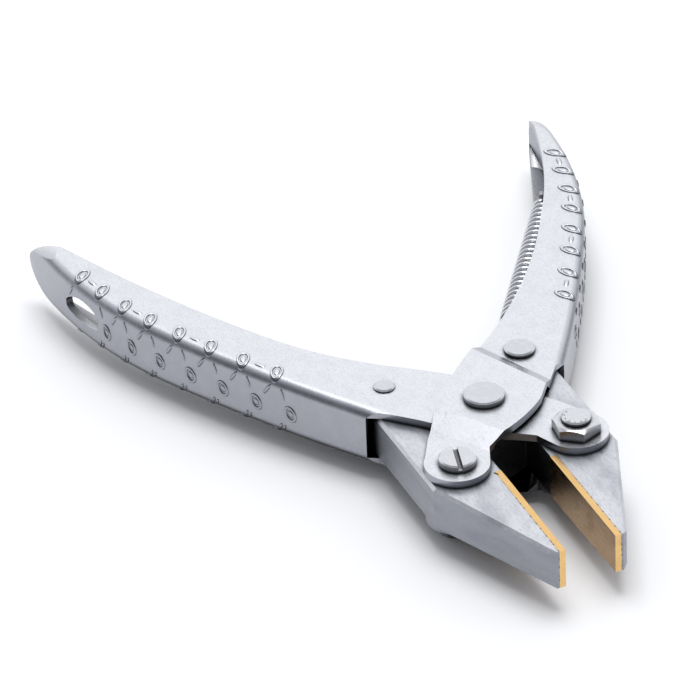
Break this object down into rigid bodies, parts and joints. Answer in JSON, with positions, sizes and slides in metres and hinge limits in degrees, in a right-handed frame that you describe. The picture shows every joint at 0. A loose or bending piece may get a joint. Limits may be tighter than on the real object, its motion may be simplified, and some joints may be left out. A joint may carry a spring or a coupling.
{
  "type": "parallel-action pliers",
  "caption": "Parallel-action flat-nose pliers: pressed channel handles cross at an open throat and close smooth brass-lined jaws that stay parallel, with a return spring in each handle.",
  "frame": {"origin": "on the main pivot's axis, at the outer face of the lower main rivet's head, which the tool rests on", "axes": "+X to the jaw tips along the line that the jaws close on, +Y to the right-hand jaw, +Z along the pivot axes"},
  "size_m": [0.1261, 0.097, 0.0167],
  "materials": {
    "plated_handle": "satin nickel plate",
    "jaw_steel": "satin, tumbled",
    "brass_lining": "milled, satin",
    "solder": "dull, with dark flux",
    "rivet_steel": "satin",
    "screw_steel": "nickel plate",
    "spring_wire": "bright drawn wire"
  },
  "bodies": {
    "right_handle": {"right_handle": "plated_handle", "main_rivet_top": "rivet_steel", "left_jaw_screw": "screw_steel", "left_jaw_nut": "screw_steel", "right_slot_rivet": "rivet_steel"},
    "left_handle": {"left_handle": "plated_handle", "main_rivet_bottom": "rivet_steel", "right_jaw_screw": "screw_steel", "right_jaw_nut": "screw_steel", "left_slot_rivet": "rivet_steel"},
    "left_jaw": {"left_jaw": "jaw_steel", "left_lining_solder": "solder", "left_jaw_lining": "brass_lining"},
    "right_jaw": {"right_jaw": "jaw_steel", "right_lining_solder": "solder", "right_jaw_lining": "brass_lining"},
    "right_spring": {"right_spring_coil": "spring_wire"},
    "right_spring_hook": {"right_spring_hook": "spring_wire"},
    "left_spring": {"left_spring_coil": "spring_wire"},
    "left_spring_hook": {"left_spring_hook": "spring_wire"}
  },
  "joints": [
    {"name": "handle_pivot", "type": "hinge", "parent": "right_handle", "child": "left_handle", "pos_m": [0, 0, 0.00835], "axis": [0, 0, -1], "range_deg": [0, 35.4], "stiffness_Nm_per_rad": 0.15, "springref_deg": -28.65},
    {"name": "left_jaw_pivot", "type": "hinge", "parent": "right_handle", "child": "left_jaw", "pos_m": [0.0129, -0.0108, 0.00835], "axis": [0, 0, -1], "range_deg": [0, 17.7]},
    {"name": "right_jaw_pivot", "type": "hinge", "parent": "left_handle", "child": "right_jaw", "pos_m": [0.0129, 0.0108, 0.00835], "axis": [0, 0, 1], "range_deg": [0, 17.7]},
    {"name": "right_spring_swing", "type": "hinge", "parent": "right_handle", "child": "right_spring", "pos_m": [-0.0622, 0.0412, 0.00835], "axis": [0, 0, 1], "range_deg": [0, 6.1]},
    {"name": "right_spring_stretch", "type": "slide", "parent": "right_spring", "child": "right_spring_hook", "axis": [0.8284, -0.5601, 0], "range_m": [0, 0.00512], "deforming": ["right_spring_coil", "right_spring_hook"]},
    {"name": "left_spring_swing", "type": "hinge", "parent": "left_handle", "child": "left_spring", "pos_m": [-0.0622, -0.0412, 0.00835], "axis": [0, 0, -1], "range_deg": [0, 6.1]},
    {"name": "left_spring_stretch", "type": "slide", "parent": "left_spring", "child": "left_spring_hook", "axis": [0.8284, 0.5601, 0], "range_m": [0, 0.00512], "deforming": ["left_spring_coil", "left_spring_hook"]}
  ],
  "couplings": [
    {"joint": "left_jaw_pivot", "follows": "handle_pivot", "ratio": 0.5},
    {"joint": "right_jaw_pivot", "follows": "handle_pivot", "ratio": 0.5},
    {"joint": "right_spring_swing", "follows": "handle_pivot", "ratio": 0.17222},
    {"joint": "right_spring_stretch", "follows": "handle_pivot", "m_per_rad": 0.0082874},
    {"joint": "left_spring_swing", "follows": "handle_pivot", "ratio": 0.17222},
    {"joint": "left_spring_stretch", "follows": "handle_pivot", "m_per_rad": 0.0082874}
  ]
}
